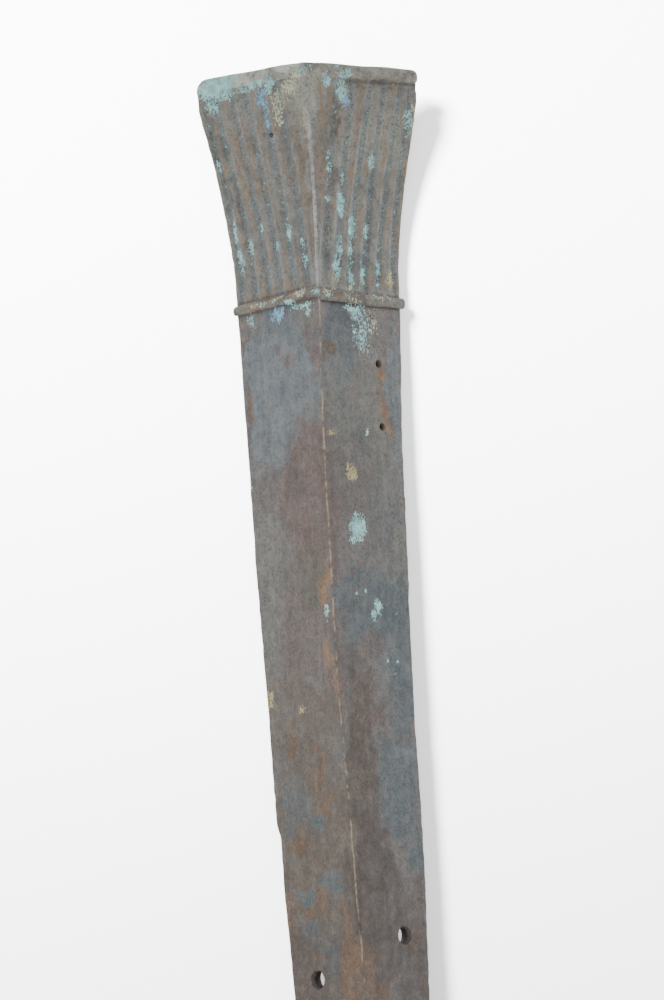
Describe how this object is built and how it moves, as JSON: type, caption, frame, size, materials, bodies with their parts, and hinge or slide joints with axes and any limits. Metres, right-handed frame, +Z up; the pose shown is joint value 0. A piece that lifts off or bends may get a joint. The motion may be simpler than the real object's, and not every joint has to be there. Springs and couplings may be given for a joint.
{
  "type": "post corner casing",
  "caption": "Upper end of a tapering right-angle cast iron corner casing, with a neck bead and a fluted head that flares to a rolled rim.",
  "frame": {"origin": "middle of the bottom of the bounding box, at the foot", "axes": "+Z up along the arris, -Y towards the arris (the front), +X to the right seen from the front; the legs run back at 45 degrees on both sides of X = 0"},
  "size_m": [0.1876, 0.083, 0.914],
  "materials": {
    "shaft_iron": "sand cast, weathered to a thin mottled rust with blue-grey remains of old paint",
    "head_iron": "sand cast flutes, rusty, with flakes of pale turquoise paint",
    "moulding_iron": "sand cast, rusty, with flakes of paint",
    "seam_filler": "dull worn filler along the arris, pale ochre where it is rubbed",
    "cleat_iron": "dark rolled iron with even brown rust",
    "fastener_steel": "rusty steel"
  },
  "bodies": {
    "root": {"left_shaft_plate": "shaft_iron", "right_shaft_plate": "shaft_iron", "left_head_panel": "head_iron", "right_head_panel": "head_iron", "left_neck_bead": "moulding_iron", "right_neck_bead": "moulding_iron", "left_rim_roll": "moulding_iron", "right_rim_roll": "moulding_iron", "shaft_arris_seam": "seam_filler", "head_arris_rib": "seam_filler", "lower_corner_cleat": "cleat_iron", "middle_corner_cleat": "cleat_iron", "upper_corner_cleat": "cleat_iron", "head_corner_cleat": "cleat_iron", "left_neck_splice": "cleat_iron", "right_neck_splice": "cleat_iron", "cleat_screws": "fastener_steel", "splice_screws": "fastener_steel", "bead_pins": "fastener_steel", "rim_pins": "fastener_steel"}
  },
  "joints": []
}
